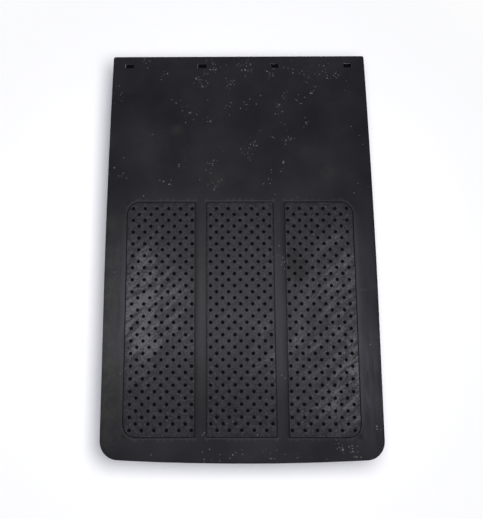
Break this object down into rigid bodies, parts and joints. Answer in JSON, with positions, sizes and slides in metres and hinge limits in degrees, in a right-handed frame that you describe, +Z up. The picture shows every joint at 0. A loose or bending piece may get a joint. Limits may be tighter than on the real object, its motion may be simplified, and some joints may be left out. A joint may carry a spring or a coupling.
{
  "type": "mud flap",
  "caption": "Black rubber mud flap for a truck or trailer: plain top with a row of bolt slots, and dimpled raised pads below.",
  "frame": {"origin": "on the flat back face, at the middle of the row of bolt slots", "axes": "+X across the flap, +Z up, +Y out of the plain back; the dimpled front faces -Y"},
  "size_m": [0.4, 0.0068, 0.6],
  "materials": {
    "smooth_rubber": "smooth moulded black rubber, dusty",
    "pad_rubber": "rough moulded black rubber, dusty and scuffed"
  },
  "bodies": {
    "mounting_band": {"mounting_band": "smooth_rubber"},
    "band_1": {"sheet_band_1": "smooth_rubber"},
    "band_2": {"sheet_band_2": "smooth_rubber"},
    "band_3": {"sheet_band_3": "smooth_rubber", "left_pad_3": "pad_rubber", "centre_pad_3": "pad_rubber", "right_pad_3": "pad_rubber"},
    "band_4": {"sheet_band_4": "smooth_rubber", "left_pad_4": "pad_rubber", "centre_pad_4": "pad_rubber", "right_pad_4": "pad_rubber"},
    "band_5": {"sheet_band_5": "smooth_rubber", "left_pad_5": "pad_rubber", "centre_pad_5": "pad_rubber", "right_pad_5": "pad_rubber"},
    "band_6": {"sheet_band_6": "smooth_rubber", "left_pad_6": "pad_rubber", "centre_pad_6": "pad_rubber", "right_pad_6": "pad_rubber"},
    "band_7": {"sheet_band_7": "smooth_rubber", "left_pad_7": "pad_rubber", "centre_pad_7": "pad_rubber", "right_pad_7": "pad_rubber"},
    "band_8": {"sheet_band_8": "smooth_rubber", "left_pad_8": "pad_rubber", "centre_pad_8": "pad_rubber", "right_pad_8": "pad_rubber"}
  },
  "joints": [
    {"name": "hanger_fold", "type": "hinge", "parent": "mounting_band", "child": "band_1", "pos_m": [0, -0.003, -0.02863], "axis": [1, 0, 0], "range_deg": [-25, 40], "stiffness_Nm_per_rad": 0.9},
    {"name": "curl_1", "type": "hinge", "parent": "band_1", "child": "band_2", "pos_m": [0, -0.003, -0.09863], "axis": [1, 0, 0], "range_deg": [-12, 12], "stiffness_Nm_per_rad": 0.7},
    {"name": "curl_2", "type": "hinge", "parent": "band_2", "child": "band_3", "pos_m": [0, -0.003, -0.16862], "axis": [1, 0, 0], "range_deg": [-12, 12], "stiffness_Nm_per_rad": 0.7},
    {"name": "curl_3", "type": "hinge", "parent": "band_3", "child": "band_4", "pos_m": [0, -0.003, -0.23863], "axis": [1, 0, 0], "range_deg": [-12, 12], "stiffness_Nm_per_rad": 0.7},
    {"name": "curl_4", "type": "hinge", "parent": "band_4", "child": "band_5", "pos_m": [0, -0.003, -0.30862], "axis": [1, 0, 0], "range_deg": [-12, 12], "stiffness_Nm_per_rad": 0.7},
    {"name": "curl_5", "type": "hinge", "parent": "band_5", "child": "band_6", "pos_m": [0, -0.003, -0.37862], "axis": [1, 0, 0], "range_deg": [-12, 12], "stiffness_Nm_per_rad": 0.7},
    {"name": "curl_6", "type": "hinge", "parent": "band_6", "child": "band_7", "pos_m": [0, -0.003, -0.44862], "axis": [1, 0, 0], "range_deg": [-12, 12], "stiffness_Nm_per_rad": 0.7},
    {"name": "curl_7", "type": "hinge", "parent": "band_7", "child": "band_8", "pos_m": [0, -0.003, -0.51863], "axis": [1, 0, 0], "range_deg": [-12, 12], "stiffness_Nm_per_rad": 0.7}
  ],
  "couplings": [
    {"joint": "curl_2", "follows": "curl_1", "ratio": 1},
    {"joint": "curl_3", "follows": "curl_1", "ratio": 1},
    {"joint": "curl_4", "follows": "curl_1", "ratio": 1},
    {"joint": "curl_5", "follows": "curl_1", "ratio": 1},
    {"joint": "curl_6", "follows": "curl_1", "ratio": 1},
    {"joint": "curl_7", "follows": "curl_1", "ratio": 1}
  ]
}
